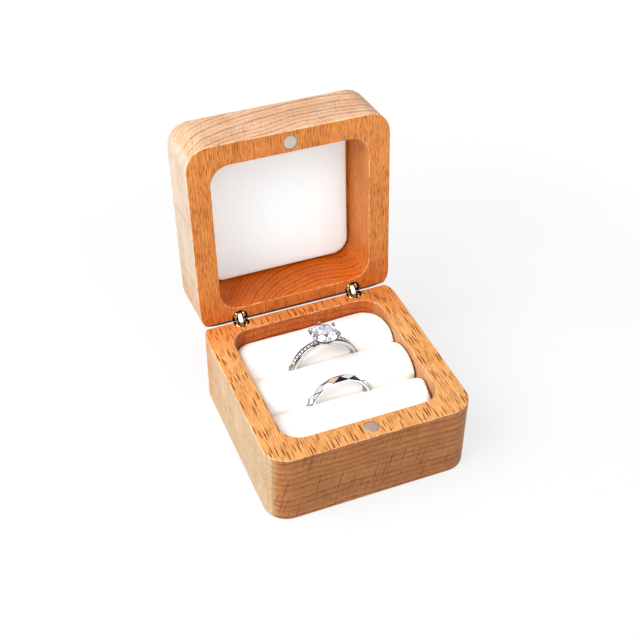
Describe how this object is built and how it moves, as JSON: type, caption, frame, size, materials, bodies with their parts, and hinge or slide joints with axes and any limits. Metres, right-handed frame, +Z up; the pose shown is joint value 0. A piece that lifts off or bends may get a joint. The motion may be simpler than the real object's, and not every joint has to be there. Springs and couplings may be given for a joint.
{
  "type": "ring box",
  "caption": "Square wooden ring box with rounded corners, an open lid on barrel hinges, closing magnets, velvet rolls and two rings.",
  "frame": {"origin": "middle of the base block's underside, on the surface that the box stands on", "axes": "+Z up, -Y towards the front of the box where the lid opens, +X to the right seen from the front"},
  "size_m": [0.06, 0.0807, 0.081],
  "materials": {
    "beech_wood": "satin oiled beech with short dark pores along the grain",
    "magnet_metal": "satin nickel plate",
    "card_board": "matt grey card",
    "white_foam": "open-cell foam",
    "white_velvet": "short-pile velvet",
    "brass": "polished turned brass",
    "white_metal": "polished white metal",
    "clear_stone": "facet-cut clear stone"
  },
  "bodies": {
    "base": {"base_block": "beech_wood", "base_magnet": "magnet_metal", "insert_board": "card_board", "front_roll_foam": "white_foam", "middle_roll_foam": "white_foam", "rear_roll_foam": "white_foam", "front_roll_velvet": "white_velvet", "middle_roll_velvet": "white_velvet", "rear_roll_velvet": "white_velvet", "left_hinge_base_barrel": "brass", "left_hinge_base_pin": "brass", "right_hinge_base_barrel": "brass", "right_hinge_base_pin": "brass", "wedding_band": "white_metal", "solitaire_shank": "white_metal", "solitaire_head": "white_metal", "solitaire_stone": "clear_stone", "solitaire_accent_stones": "clear_stone"},
    "hinge_links": {"left_hinge_link": "brass", "right_hinge_link": "brass"},
    "lid": {"lid_block": "beech_wood", "lid_magnet": "magnet_metal", "lid_pad_board": "card_board", "lid_pad_foam": "white_foam", "lid_pad_velvet": "white_velvet", "left_hinge_lid_pin": "brass", "left_hinge_lid_barrel": "brass", "right_hinge_lid_pin": "brass", "right_hinge_lid_barrel": "brass"}
  },
  "joints": [
    {"name": "link_swing", "type": "hinge", "parent": "base", "child": "hinge_links", "pos_m": [0, 0.0269, 0.0216], "axis": [1, 0, 0], "range_deg": [0, 47.5]},
    {"name": "lid_swing", "type": "hinge", "parent": "hinge_links", "child": "lid", "pos_m": [0, 0.02978, 0.02423], "axis": [1, 0, 0], "range_deg": [0, 47.5]}
  ],
  "couplings": [
    {"joint": "lid_swing", "follows": "link_swing", "ratio": 1}
  ]
}
